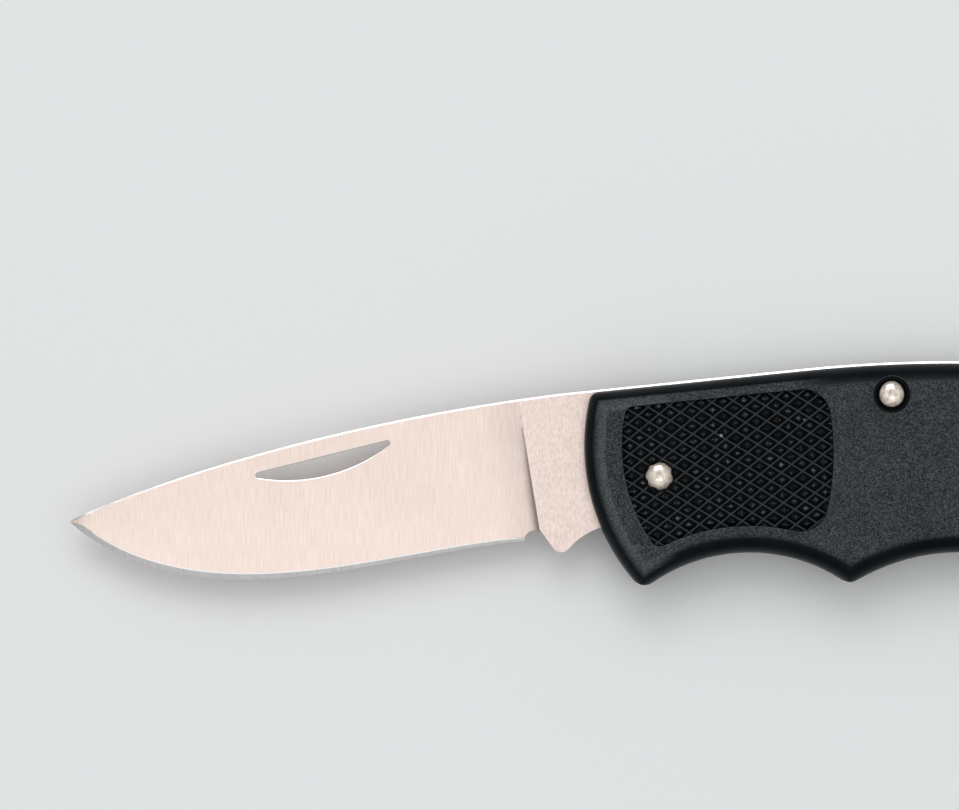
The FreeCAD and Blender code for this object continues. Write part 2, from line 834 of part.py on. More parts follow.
def knife():
    scale = side_scale()
    panel = grip_panel()
    liner = side_liner()
    post = rivet_post()
    cap = rivet_cap()
    bushing = ring(rivet_radius + hole_clearance, bushing_radius, -channel_half, channel_half)
    washer = ring(bushing_radius + running_clearance, washer_radius, blade_half + axial_play, channel_half)
    return {
        "front_scale": scale,
        "back_scale": mirrored(scale),
        "front_grip_panel": panel,
        "back_grip_panel": mirrored(panel),
        "front_liner": liner,
        "back_liner": mirrored(liner),
        "pivot_rivet": post,
        "pivot_rivet_cap": cap,
        "lock_bar_rivet": at(lock_pin, post),
        "lock_bar_rivet_cap": at(lock_pin, cap),
        "tail_rivet": at(tail_rivet_place(), post),
        "tail_rivet_cap": at(tail_rivet_place(), cap),
        "pivot_bushing": bushing,
        "lock_bar_bushing": at(lock_pin, bushing),
        "front_pivot_washer": washer,
        "back_pivot_washer": mirrored(washer),
        "tail_spacer": tail_spacer(),
        "lock_spring": lock_spring(),
        "blade": blade(),
        "lock_bar": lock_bar(),
    }


pieces = knife()
box = Part.makeCompound(list(pieces.values())).optimalBoundingBox()
footprint = Vector(box.Center.x, box.Center.y, box.ZMin)

os.makedirs("parts", exist_ok=True)
for name, solid in pieces.items():
    at(footprint * -1, solid).exportStep("parts/" + name + ".step")
    print(name, len(solid.Solids), solid.isValid(), round(solid.Volume, 2))

print("pivot", pivot - footprint, "lock pin", lock_pin - footprint)
print("box", box.XLength, box.YLength, box.ZLength)
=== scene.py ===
import bpy
import bmesh
import json
import math
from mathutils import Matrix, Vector, noise
from mathutils.bvhtree import BVHTree


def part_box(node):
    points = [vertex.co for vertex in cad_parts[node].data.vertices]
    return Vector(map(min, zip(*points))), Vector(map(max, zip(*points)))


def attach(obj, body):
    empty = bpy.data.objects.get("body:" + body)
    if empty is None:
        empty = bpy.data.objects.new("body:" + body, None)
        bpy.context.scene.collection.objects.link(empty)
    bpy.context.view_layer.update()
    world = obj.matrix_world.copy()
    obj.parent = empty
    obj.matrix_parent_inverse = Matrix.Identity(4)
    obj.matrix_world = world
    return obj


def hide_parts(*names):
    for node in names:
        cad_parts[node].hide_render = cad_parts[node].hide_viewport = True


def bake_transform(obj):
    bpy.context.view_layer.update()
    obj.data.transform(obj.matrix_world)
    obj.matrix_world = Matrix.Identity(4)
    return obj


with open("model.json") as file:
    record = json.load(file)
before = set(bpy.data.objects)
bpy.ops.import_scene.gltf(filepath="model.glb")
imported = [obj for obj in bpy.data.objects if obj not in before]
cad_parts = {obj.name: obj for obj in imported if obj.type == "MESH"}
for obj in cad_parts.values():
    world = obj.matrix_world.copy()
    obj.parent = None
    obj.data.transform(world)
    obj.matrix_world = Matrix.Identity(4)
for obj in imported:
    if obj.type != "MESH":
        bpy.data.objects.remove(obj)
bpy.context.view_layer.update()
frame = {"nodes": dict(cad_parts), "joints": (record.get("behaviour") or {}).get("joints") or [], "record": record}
nodes = frame["nodes"]
scene = bpy.context.scene
print("frame loaded:", len(nodes), "nodes")

mm = 0.001
pivot = Vector(frame["joints"][0]["pos_m"])


def feed(tree, socket, value):
    # a number or a colour is set on the socket, anything else is linked to it
    if isinstance(value, (int, float)):
        socket.default_value = value
    elif isinstance(value, tuple):
        socket.default_value = (*value[:3], 1)
    else:
        tree.links.new(value, socket)


def ramp(tree, value, stops):
    node = tree.nodes.new("ShaderNodeValToRGB")
    feed(tree, node.inputs[0], value)
    elements = node.color_ramp.elements
    for stop in stops[2:]:
        elements.new(stop[0])
    for element, (place, color) in zip(elements, sorted(stops)):
        element.position = place
        color = (color,) * 3 if isinstance(color, (int, float)) else color
        element.color = (*color, 1)
    return node.outputs["Color"]


# studio

studio = {
    "photoScale": 0.145 * mm,       # one photo pixel on the knife
    "imageSize": (959, 810),
    "pivotPixel": (659, 476),
    "distance": 1.4,
    "lookHeight": 9 * mm,
    "sensor": 36,
    "farClip": 20,
    "floorSize": 4.0,
    "floorDrop": 0.05 * mm,
    "floorColor": (0.90, 0.915, 0.925),
    "floorRough": 0.7,
    "tentLean": 6,                  # degrees the tent's bright crown leans to the top of the picture
    "tentStops": [(0.0, 0.2), (0.3, 0.3), (0.48, 0.42), (0.66, 0.6), (0.82, 0.92), (0.95, 1.07), (1.0, 1.09)],
    "keySize": 0.8,
    "keyPower": 4.0,
    "keyPlace": (-0.12, 0.85, 1.25),
}


def makeCamera():
    width, height = studio["imageSize"]
    px, py = studio["pivotPixel"]
    centre = pivot.copy()
    centre.x += (width / 2 - px) * studio["photoScale"]
    centre.y += (py - height / 2) * studio["photoScale"]
    cam = bpy.data.cameras.new("photoCamera")
    cam.sensor_width = studio["sensor"]
    cam.lens = studio["sensor"] * studio["distance"] / (width * studio["photoScale"])
    cam.clip_end = studio["farClip"]
    obj = bpy.data.objects.new("photoCamera", cam)
    obj.location = (centre.x, centre.y, studio["lookHeight"] + studio["distance"])
    scene.collection.objects.link(obj)
    scene.camera = obj


def makeFloor():
    bm = bmesh.new()
    bmesh.ops.create_grid(bm, x_segments=1, y_segments=1, size=studio["floorSize"] / 2)
    bmesh.ops.translate(bm, verts=bm.verts, vec=(0, 0, -studio["floorDrop"]))
    mesh = bpy.data.meshes.new("floor")
    bm.to_mesh(mesh)
    bm.free()
    floor = bpy.data.objects.new("floor", mesh)
    scene.collection.objects.link(floor)
    mat = bpy.data.materials.new("paleFloor")
    mat.use_nodes = True
    shader = mat.node_tree.nodes["Principled BSDF"]
    feed(mat.node_tree, shader.inputs["Base Color"], studio["floorColor"])
    feed(mat.node_tree, shader.inputs["Roughness"], studio["floorRough"])
    mesh.materials.append(mat)


def makeLight():
    world = bpy.data.worlds.new("studioWorld")
    world.use_nodes = True
    tree = world.node_tree
    way = tree.nodes.new("ShaderNodeTexCoord")
    crown = tree.nodes.new("ShaderNodeVectorMath")
    crown.operation = "DOT_PRODUCT"
    lean = math.radians(studio["tentLean"])
    crown.inputs[1].default_value = (0, math.sin(lean), math.cos(lean))
    feed(tree, crown.inputs[0], way.outputs["Generated"])
    tent = ramp(tree, crown.outputs["Value"], studio["tentStops"])
    feed(tree, tree.nodes["Background"].inputs["Color"], tent)
    scene.world = world
    lamp = bpy.data.lights.new("topSoftbox", "AREA")
    lamp.shape = "SQUARE"
    lamp.size = studio["keySize"]
    lamp.energy = studio["keyPower"]
    obj = bpy.data.objects.new("topSoftbox", lamp)
    place = Vector(studio["keyPlace"])
    obj.location = place
    obj.rotation_euler = (-place).to_track_quat("-Z", "Y").to_euler()
    scene.collection.objects.link(obj)
    scene.view_settings.view_transform = "Standard"


makeCamera()
makeFloor()
makeLight()
print("studio set")


# shared shader groups

brushedNoise = {"lineScale": 1.0, "lineDetail": 3.0, "shadeScale": 0.75, "shadeDetail": 2.0, "shadeRough": 0.6,
                "cloudScale": 110.0, "cloudDetail": 3.0}
grainNoise = {"softDetail": 2.0, "softRough": 0.6, "softShare": 0.7, "fleckShare": 0.3,
              "cloudScale": 160.0, "cloudDetail": 3.0}


def newGroup(name, inputs, outputs):
    # every group has a place to read and puts out plain values
    group = bpy.data.node_groups.new(name, "ShaderNodeTree")
    group.interface.new_socket(name="Place", in_out="INPUT", socket_type="NodeSocketVector")
    for label, value in inputs.items():
        socket = group.interface.new_socket(name=label, in_out="INPUT", socket_type="NodeSocketFloat")
        socket.default_value = value
    for label in outputs:
        group.interface.new_socket(name=label, in_out="OUTPUT", socket_type="NodeSocketFloat")
    return group, group.nodes.new("NodeGroupInput").outputs, group.nodes.new("NodeGroupOutput").inputs


def mathNode(tree, operation, first, second=None):
    node = tree.nodes.new("ShaderNodeMath")
    node.operation = operation
    feed(tree, node.inputs[0], first)
    if second is not None:
        feed(tree, node.inputs[1], second)
    return node.outputs[0]


def noiseNode(tree, place, scale, detail, rough=0.5):
    node = tree.nodes.new("ShaderNodeTexNoise")
    for label, value in (("Vector", place), ("Scale", scale), ("Detail", detail), ("Roughness", rough)):
        feed(tree, node.inputs[label], value)
    return node.outputs["Fac"]


def cellsNode(tree, place, scale):
    # each cell's distance, and the random numbers that are its own
    node = tree.nodes.new("ShaderNodeTexVoronoi")
    feed(tree, node.inputs["Vector"], place)
    feed(tree, node.inputs["Scale"], scale)
    own = tree.nodes.new("ShaderNodeSeparateColor")
    feed(tree, own.inputs[0], node.outputs["Color"])
    return node.outputs["Distance"], own.outputs


def splitPlace(tree, place):
    node = tree.nodes.new("ShaderNodeSeparateXYZ")
    feed(tree, node.inputs[0], place)
    return node.outputs


def makeBrushed():
    # lines drawn along Y, as a belt leaves them across the blade
    group, gin, gout = newGroup("brushedLines", {"Lines": 5200.0, "Run": 60.0}, ("Height", "Shade", "Cloud"))
    split = splitPlace(group, gin["Place"])
    join = group.nodes.new("ShaderNodeCombineXYZ")
    for axis, count in enumerate(("Lines", "Run", "Run")):
        feed(group, join.inputs[axis], mathNode(group, "MULTIPLY", split[axis], gin[count]))
    drawn, look = join.outputs[0], brushedNoise
    feed(group, gout["Height"], noiseNode(group, drawn, look["lineScale"], look["lineDetail"]))
    feed(group, gout["Shade"], noiseNode(group, drawn, look["shadeScale"], look["shadeDetail"], look["shadeRough"]))
    feed(group, gout["Cloud"], noiseNode(group, gin["Place"], look["cloudScale"], look["cloudDetail"]))
    return group


def makeGrain():
    # fine moulded grain with flecks, and a broad cloudiness
    group, gin, gout = newGroup("mouldGrain", {"Grain": 3600.0}, ("Height", "Cloud"))
    look = grainNoise
    fleck = cellsNode(group, gin["Place"], gin["Grain"])[1][0]
    soft = noiseNode(group, gin["Place"], gin["Grain"], look["softDetail"], look["softRough"])
    both = mathNode(group, "ADD", mathNode(group, "MULTIPLY", soft, look["softShare"]),
                    mathNode(group, "MULTIPLY", fleck, look["fleckShare"]))
    feed(group, gout["Height"], both)
    feed(group, gout["Cloud"], noiseNode(group, gin["Place"], look["cloudScale"], look["cloudDetail"]))
    return group


def makeSpecks():
    # sparse pale dust, one speck in some of the cells
    group, gin, gout = newGroup("dustSpecks", {"Cells": 260.0, "Size": 0.06, "Share": 0.1}, ("Mask",))
    away, own = cellsNode(group, gin["Place"], gin["Cells"])
    chosen = mathNode(group, "LESS_THAN", own[0], gin["Share"])
    near = mathNode(group, "LESS_THAN", away, mathNode(group, "MULTIPLY", gin["Size"], own[1]))
    feed(group, gout["Mask"], mathNode(group, "MULTIPLY", near, chosen))
    return group


brushedGroup = makeBrushed()
grainGroup = makeGrain()
speckGroup = makeSpecks()
print("shader groups built")


# materials

shadeSpan = (0.34, 0.66)        # the parts of a noise's range that a ramp spreads out
cloudSpan = (0.35, 0.65)
wideSpan = (0.3, 0.7)


def spread(tree, value, span, low, high):
    return ramp(tree, value, [(span[0], low), (span[1], high)])


def newMaterial(name):
    mat = bpy.data.materials.new(name)
    mat.use_nodes = True
    tree = mat.node_tree
    coords = tree.nodes.new("ShaderNodeTexCoord")
    return mat, tree, tree.nodes["Principled BSDF"], coords.outputs["Object"]


def turned(tree, place, angle):
    node = tree.nodes.new("ShaderNodeMapping")
    node.inputs["Rotation"].default_value = (0, 0, math.radians(angle))
    feed(tree, node.inputs["Vector"], place)
    return node.outputs["Vector"]


def placeGroup(tree, group, place, **values):
    node = tree.nodes.new("ShaderNodeGroup")
    node.node_tree = group
    feed(tree, node.inputs["Place"], place)
    for label, value in values.items():
        feed(tree, node.inputs[label], value)
    return node.outputs


def mixColor(tree, share, first, second, blend="MIX"):
    node = tree.nodes.new("ShaderNodeMix")
    node.data_type = "RGBA"
    node.blend_type = blend
    for slot, value in ((0, share), (6, first), (7, second)):       # factor and the two colours
        feed(tree, node.inputs[slot], value)
    return node.outputs[2]


def bumpInto(tree, shader, height, look):
    node = tree.nodes.new("ShaderNodeBump")
    feed(tree, node.inputs["Strength"], look["bump"])
    feed(tree, node.inputs["Distance"], look["depth"])
    feed(tree, node.inputs["Height"], height)
    feed(tree, shader.inputs["Normal"], node.outputs["Normal"])


def mapRange(tree, value, low, high):
    node = tree.nodes.new("ShaderNodeMapRange")
    node.interpolation_type = "SMOOTHSTEP"
    for label, given in (("Value", value), ("From Min", low), ("From Max", high)):
        feed(tree, node.inputs[label], given)
    return node.outputs["Result"]


def paintedPlungeShadeMask(tree, place, run):
    # rises towards the slanting plunge line: painted shade that darkens the blade beside the plunge
    slant, far, near = run
    split = splitPlace(tree, place)
    return mapRange(tree, mathNode(tree, "ADD", split[0], mathNode(tree, "MULTIPLY", split[1], slant)), far, near)


def brushedSteel(name, look):
    mat, tree, shader, place = newMaterial(name)
    shader.inputs["Metallic"].default_value = 1.0
    if "turn" in look:
        place = turned(tree, place, look["turn"])
    lines = placeGroup(tree, brushedGroup, place, Lines=look["lines"], Run=look["run"])
    shade = spread(tree, lines["Shade"], shadeSpan, look["dark"], look["light"])
    cloud = spread(tree, lines["Cloud"], cloudSpan, 1 - look["cloud"], 1.0)
    color = mixColor(tree, 1.0, shade, cloud, "MULTIPLY")
    # painted shade, darker towards the plunge line
    if "plungeShadeReach" in look:
        color = mixColor(tree, paintedPlungeShadeMask(tree, place, look["plungeShadeReach"]), color, look["paintedPlungeShade"], "MULTIPLY")
    feed(tree, shader.inputs["Base Color"], color)
    low, high = look["rough"]
    feed(tree, shader.inputs["Roughness"], spread(tree, lines["Shade"], wideSpan, high, low))
    bumpInto(tree, shader, lines["Height"], look)
    return mat


def heightMask(tree, place, low, high):
    # 0 at the low distance from the knife's middle plane, 1 at the high one
    away = mathNode(tree, "ABSOLUTE", mathNode(tree, "SUBTRACT", splitPlace(tree, place)[2], pivot.z))
    return mapRange(tree, away, low, high)


def plasticBase(name, look):
    mat, tree, shader, place = newMaterial(name)
    shader.inputs["Specular IOR Level"].default_value = look["gloss"]
    grain = placeGroup(tree, grainGroup, place, Grain=look["grain"])
    dust = placeGroup(tree, speckGroup, place, Cells=look["dustCells"], Size=look["dustSize"],
                      Share=look["dustShare"])
    return mat, tree, shader, place, grain, dust["Mask"]


def mouldedScale(name, look):
    # grained on the flat faces and paler there as painted sheen, smooth and darker on the rounds as painted shade
    mat, tree, shader, place, grain, dust = plasticBase(name, look)
    split = splitPlace(tree, place)
    low, high = look["face"]
    flat = heightMask(tree, place, low, high)
    # painted sheen: the flat's paler colour reaches further down the round above the panel
    widenedSheenMask = heightMask(tree, place, low - look["rimDrop"], high - look["rimDrop"])
    rim = mathNode(tree, "MULTIPLY", mapRange(tree, split[0], *look["rimEnd"]),
                   mapRange(tree, split[1], *look["rimFoot"]))
    face = mixColor(tree, rim, flat, widenedSheenMask)
    # painted highlight along the inner border of the front round
    ridge = mathNode(tree, "MULTIPLY", heightMask(tree, place, *look["frontHighlightFoot"]),
                     heightMask(tree, place, *look["frontHighlightHead"]))
    ridge = mathNode(tree, "MULTIPLY", ridge, mapRange(tree, split[0], *look["frontHighlightEnd"]))
    smooth = spread(tree, grain["Cloud"], wideSpan, look["dark"], look["light"])
    grained = mixColor(tree, 1.0, ramp(tree, grain["Height"], look["grainAndSheenStops"]),
                       spread(tree, grain["Cloud"], wideSpan, look["cloud"], 1.0), "MULTIPLY")
    # painted shade on the rounds, painted sheen on the flats
    color = mixColor(tree, face, smooth, grained)
    color = mixColor(tree, ridge, color, ramp(tree, grain["Height"], look["ridgeStops"]))
    feed(tree, shader.inputs["Base Color"], mixColor(tree, dust, color, look["dust"]))
    roundRough, least, most = look["rough"]
    flatRough = spread(tree, grain["Height"], wideSpan, least, most)
    feed(tree, shader.inputs["Roughness"], mixColor(tree, face, (roundRough,) * 3, flatRough))
    lift = mathNode(tree, "MULTIPLY", grain["Height"], mathNode(tree, "ADD", face, look["roundGrain"]))
    bumpInto(tree, shader, lift, look)
    return mat


def checkeredGrip(name, look):
    # black facets; pale tips, partly worn and partly a painted glint; groove floors paler and bluish as painted
    # sheen
    mat, tree, shader, place, grain, dust = plasticBase(name, look)
    tips = heightMask(tree, place, *look["tips"])
    floors = heightMask(tree, place, *look["floors"])
    facet = spread(tree, grain["Cloud"], wideSpan, look["dark"], look["light"])
    wornAndGlint = ramp(tree, grain["Height"], look["tipWearAndGlintStops"])
    color = mixColor(tree, tips, mixColor(tree, floors, facet, look["floor"]), wornAndGlint)
    feed(tree, shader.inputs["Base Color"], mixColor(tree, dust, color, look["dust"]))
    feed(tree, shader.inputs["Roughness"], spread(tree, grain["Height"], wideSpan, *look["rough"]))
    bumpInto(tree, shader, grain["Height"], look)
    return mat


bladeLook = {"dark": (0.83, 0.69, 0.62), "light": (0.925, 0.78, 0.71), "rough": (0.32, 0.42), "cloud": 0.03,
             "lines": 10500, "run": 420, "bump": 0.22, "depth": 0.008 * mm,
             # painted shade beside the plunge line: its reach and its colour
             "plungeShadeReach": (0.152, -29.0 * mm, -23.5 * mm), "paintedPlungeShade": (0.86, 0.86, 0.87)}
ricassoLook = {"dark": (0.735, 0.61, 0.555), "light": (0.855, 0.73, 0.675), "rough": (0.36, 0.46), "cloud": 0.04,
               "lines": 5600, "run": 2200, "bump": 0.25, "depth": 0.01 * mm}
# the bevel's own lines and roughness, in a darker, greyer copy of the blade steel as painted shade on its tilted
# face
bevelShadeLook = {"dark": (0.62, 0.61, 0.61), "light": (0.73, 0.72, 0.72), "rough": (0.26, 0.34), "cloud": 0.03,
             "lines": 6200, "run": 300, "bump": 0.2, "depth": 0.008 * mm, "turn": -12}
# the lips' steel is polished, and paler than the blade's as a painted highlight
lipHighlightLook = {"dark": (0.93, 0.91, 0.89), "light": (0.98, 0.965, 0.95), "rough": (0.2, 0.28), "cloud": 0.02,
           "lines": 4200, "run": 900, "bump": 0.1, "depth": 0.006 * mm}
barLook = {"dark": (0.80, 0.76, 0.72), "light": (0.90, 0.87, 0.83), "rough": (0.28, 0.36), "cloud": 0.05,
           "lines": 5200, "run": 80, "bump": 0.2, "depth": 0.01 * mm, "turn": 90}
linerLook = {"dark": (0.50, 0.49, 0.47), "light": (0.60, 0.59, 0.57), "rough": (0.32, 0.42), "cloud": 0.08,
             "lines": 4200, "run": 90, "bump": 0.2, "depth": 0.01 * mm, "turn": 90}
rivetLook = {"dark": (0.53, 0.46, 0.39), "light": (0.87, 0.79, 0.70), "rough": (0.1, 0.2), "cloud": 0.12,
             "lines": 2600, "run": 2200, "bump": 0.2, "depth": 0.02 * mm}
bronzeLook = {"dark": (0.52, 0.34, 0.16), "light": (0.62, 0.42, 0.2), "rough": (0.3, 0.4), "cloud": 0.1,
              "lines": 2000, "run": 400, "bump": 0.2, "depth": 0.01 * mm}
scaleLook = {
    # the rounds' dark, bluish colour is painted shade with a painted blue reflection; the flats' paler stops are
    # painted sheen over the grain
    "dark": (0.0012, 0.003, 0.0044), "light": (0.003, 0.007, 0.0095), "gloss": 0.09,
    "rough": (0.32, 0.5, 0.62),                           # on the rounds, then from and to on the flats
    "grainAndSheenStops": [(0.32, (0.009, 0.013, 0.014)), (0.5, (0.037, 0.046, 0.051)), (0.68, (0.094, 0.107, 0.115))],
    "grain": 6000, "cloud": 0.78, "bump": 0.6, "depth": 0.02 * mm, "roundGrain": 0.2,
    "face": (6.06 * mm, 6.278 * mm),                      # heights over which the grained finish and its painted sheen set in
    "ridgeStops": [(0.28, (0.024, 0.028, 0.03)), (0.72, (0.125, 0.135, 0.14))],      # painted highlight along the front edge
    "frontHighlightFoot": (5.45 * mm, 6.25 * mm), "frontHighlightHead": (6.279 * mm, 6.25 * mm), "frontHighlightEnd": (-1.0 * mm, -5.5 * mm),
    "rimDrop": 0.5 * mm, "rimEnd": (21.5 * mm, 14.5 * mm), "rimFoot": (8.0 * mm, 10.5 * mm),     # painted sheen reaches further down the round above the panel
    "dust": (0.42, 0.43, 0.43), "dustCells": 330, "dustSize": 0.1, "dustShare": 0.03,
}
mouthHighlightLook = {                                             # mouths of recess and bores, paler as a painted highlight
    **scaleLook, "face": (5.0 * mm, 5.1 * mm), "cloud": 0.3, "rough": (0.3, 0.3, 0.4),
    "grainAndSheenStops": [(0.31, (0.02, 0.024, 0.026)), (0.69, (0.12, 0.13, 0.135))],
}
panelLook = {
    "dark": (0.0008, 0.001, 0.0015), "light": (0.0018, 0.0025, 0.003), "rough": (0.22, 0.34), "gloss": 0.11,
    # pale tips, partly wear and partly a painted glint
    "tipWearAndGlintStops": [(0.34, (0.002, 0.003, 0.004)), (0.54, (0.02, 0.023, 0.026)), (0.76, (0.16, 0.165, 0.17))],
    "tips": (5.86 * mm, 6.12 * mm),
    # paler bluish groove floors, a painted sheen
    "floor": (0.030, 0.035, 0.040), "floors": (5.605 * mm, 5.582 * mm),
    "grain": 2200, "bump": 0.2, "depth": 0.03 * mm,
    "dust": (0.3, 0.31, 0.32), "dustCells": 420, "dustSize": 0.12, "dustShare": 0.04,
}

bladeSteel = brushedSteel("satinBlade", bladeLook)
ricassoSteel = brushedSteel("ricassoSteel", ricassoLook)
bevelShadedSteel = brushedSteel("sharpenedBevelPaintedShade", bevelShadeLook)
lipHighlightSteel = brushedSteel("polishedLipPaintedHighlight", lipHighlightLook)
barSteel = brushedSteel("barSteel", barLook)
linerSteel = brushedSteel("linerSteel", linerLook)
rivetSteel = brushedSteel("rivetSteel", rivetLook)
washerBronze = brushedSteel("washerBronze", bronzeLook)
scalePlastic = mouldedScale("scalePlastic", scaleLook)
mouthPaintedHighlightPlastic = mouldedScale("mouthPaintedHighlightPlastic", mouthHighlightLook)
panelPlastic = checkeredGrip("panelPlastic", panelLook)

finishes = {
    "scale": scalePlastic, "grip_panel": panelPlastic, "blade_steel": bladeSteel, "bar_steel": barSteel,
    "liner_steel": linerSteel, "spring_steel": linerSteel, "rivet": rivetSteel, "washer_bronze": washerBronze,
}
for part in frame["record"]["subparts"]:
    nodes[part["node"]].material_slots[0].material = finishes[part["material_slot"]]
print("finishes given")


# shared by the pieces

meshCare = {"mergeGap": 0.002 * mm, "sliver": 0.01 * mm}
chamferSigns = {
    "upright": 0.3,               # a wall's normal has less of Z than this
    "level": 0.97,                # and a flat's more than this
    "wallBack": 0.3, "leanBack": 0.2,       # how far they face the back
    "turn": 12,
    "rimLevel": 0.9, "rimGap": 0.005 * mm,
}


def mergedCopy(name):
    bm = bmesh.new()
    bm.from_mesh(nodes[name].data)
    bmesh.ops.remove_doubles(bm, verts=bm.verts, dist=meshCare["mergeGap"])
    bmesh.ops.dissolve_degenerate(bm, edges=bm.edges, dist=meshCare["sliver"])
    bm.normal_update()
    return bm


def finishPiece(bm, name, node, body, mats):
    mesh = bpy.data.meshes.new(name)
    for face in bm.faces:
        face.smooth = True
    bm.to_mesh(mesh)
    bm.free()
    for mat in mats:
        mesh.materials.append(mat)
    obj = bpy.data.objects.new(name, mesh)
    scene.collection.objects.link(obj)
    if body:
        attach(obj, body)
    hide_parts(node)
    return obj


def sharpenEdges(bm, angle):
    # crisp where the finish changes or the turn is steep
    for edge in bm.edges:
        if len(edge.link_faces) == 2:
            first, second = edge.link_faces
            gentle = edge.calc_face_angle() < math.radians(angle)
            edge.smooth = gentle and first.material_index == second.material_index


def softenEdges(bm, edges, size, finish):
    made = bmesh.ops.bevel(bm, geom=edges, offset=size, affect="EDGES", segments=2, profile=0.5, material=-1,
                           clamp_overlap=False, loop_slide=False)
    for face in made["faces"]:
        face.material_index = finish


def grownFrom(seeds, fits, turn):
    # spreads from the seed faces over neighbours that turn no more than this
    found, queue = set(seeds), list(seeds)
    while queue:
        for edge in queue.pop().edges:
            if len(edge.link_faces) == 2 and edge.calc_face_angle() < math.radians(turn):
                for other in edge.link_faces:
                    if other not in found and fits(other):
                        found.add(other)
                        queue.append(other)
    return found


def backChamfer(bm):
    # the broken edges along a steel back, found beside its upward wall
    signs = chamferSigns

    def leans(face):
        return signs["upright"] < abs(face.normal.z) < signs["level"] and face.normal.y > signs["leanBack"]

    walls = {face for face in bm.faces
             if abs(face.normal.z) < signs["upright"] and face.normal.y > signs["wallBack"]}
    seeds = {other for face in walls for edge in face.edges for other in edge.link_faces if leans(other)}
    return grownFrom(seeds, leans, signs["turn"])


def valueAt(pairs, x):
    # read straight between sorted pairs
    after = next((i for i, pair in enumerate(pairs) if pair[0] >= x), len(pairs) - 1)
    (x0, y0), (x1, y1) = pairs[max(after - 1, 0)], pairs[after]
    return y0 + (y1 - y0) * (x - x0) / (x1 - x0) if x1 > x0 else y1


def flattenChamfer(chamfer, keep):
    # lies flatter than the solid's, so that it catches the top light
    signs = chamferSigns
    verts = {vert for face in chamfer for vert in face.verts}
    rims = sorted((vert.co.x, abs(vert.co.z - pivot.z)) for vert in verts
                  if any(face not in chamfer and abs(face.normal.z) > signs["rimLevel"] for face in vert.link_faces))
    for vert in verts:
        outer = valueAt(rims, vert.co.x)
        depth = outer - abs(vert.co.z - pivot.z)
        if depth > signs["rimGap"]:
            vert.co.z = pivot.z + math.copysign(outer - depth * keep, vert.co.z - pivot.z)


# blade

bladeForm = {
    "chamferKeep": 0.45,          # share of the chamfer's depth that is kept
    "groundReach": 20.6 * mm,     # the bare tang begins here, ahead of the pivot
    "tangLevel": 0.9995, "tangGap": 0.004 * mm,       # it is level and at full thickness
    "slotReach": 30 * mm,         # the thumbnail slot lies farther ahead than this
    "slotWall": 0.3, "slotFlat": 0.8,
    "slotLip": 0.14 * mm,         # its broken lips
    "edgeFold": -0.7,             # how the two sides of the cutting edge turn from each other
    "bevelLean": (0.88, 0.985), "bevelTurn": 3,
    "edgeLine": 0.2 * mm,         # line at the top of the sharpened bevel, a painted highlight in the paler lip steel on a flatter face
    "edgeLineLevel": 0.9,
    "edgeLineLift": 0.075,        # how much the bevel below it steepens
    "tipReach": 3.0 * mm,         # no bright line this near to the point
    "tipFade": 5.0 * mm,
    "plungeTop": (-20.4 * mm, 11.0 * mm), "plungeLow": (-17.05 * mm, -9.3 * mm),
    "plungeWidth": 2.1 * mm, "backSlope": 0.14,
    "coveStart": -0.04, "coveFoot": 1.07,             # in widths of the plunge
    "coveCurve": 2.4, "coveCatch": 0.3 * mm,
    "seamShare": 0.3, "seamGap": 0.03 * mm,
    "sharpAngle": 32,
}
grindFace, ricassoFace, bevelFace, lipFace = range(4)


def connectedRuns(faces):
    # sorts faces into runs that hang together by their edges
    left, runs = set(faces), []
    while left:
        run = grownFrom([left.pop()], lambda face: face in left, 180)
        left -= run
        runs.append(run)
    return runs


def breakLips(bm, walls):
    # a small round where the slot's upright walls meet the flats
    lips = [edge for edge in bm.edges if any(face in walls for face in edge.link_faces)
            and any(face not in walls and abs(face.normal.z) > bladeForm["slotFlat"] for face in edge.link_faces)]
    # the rounded lips take the paler lip steel, a painted highlight
    softenEdges(bm, lips, bladeForm["slotLip"], lipFace)


def drawEdgeLine(bm, bevel, tip):
    # a flatter line along the top of the bevel in the paler lip steel, a painted highlight, faded in behind the
    # point
    form = bladeForm
    verts = {vert for face in bevel for vert in face.verts}
    top = sorted((vert.co.x, vert.co.y) for vert in verts
                 if any(face.material_index == grindFace and abs(face.normal.z) > form["edgeLineLevel"]
                        for face in vert.link_faces))
    below = {vert: valueAt(top, vert.co.x) - vert.co.y - form["edgeLine"] for vert in verts}
    cuts = []
    for edge in [edge for edge in bm.edges if any(face in bevel for face in edge.link_faces)]:
        first, second = edge.verts
        if below[first] * below[second] < 0 and min(first.co.x, second.co.x) > tip + form["tipReach"]:
            cuts.append((edge, first, below[first] / (below[first] - below[second])))
    made = [bmesh.utils.edge_split(edge, first, share)[1] for edge, first, share in cuts]
    bmesh.ops.connect_verts(bm, verts=made)
    below.update((vert, 0) for vert in made)
    for face in {face for vert in made for face in vert.link_faces}:
        if face.material_index == bevelFace and all(below.get(vert, 1) <= 0 for vert in face.verts):
            face.material_index = lipFace
    for vert in below:
        if below[vert] >= 0:
            share = (vert.co.x - tip - form["tipReach"]) / form["tipFade"]
            vert.co.z += (vert.co.z - pivot.z) * form["edgeLineLift"] * min(max(share, 0), 1)


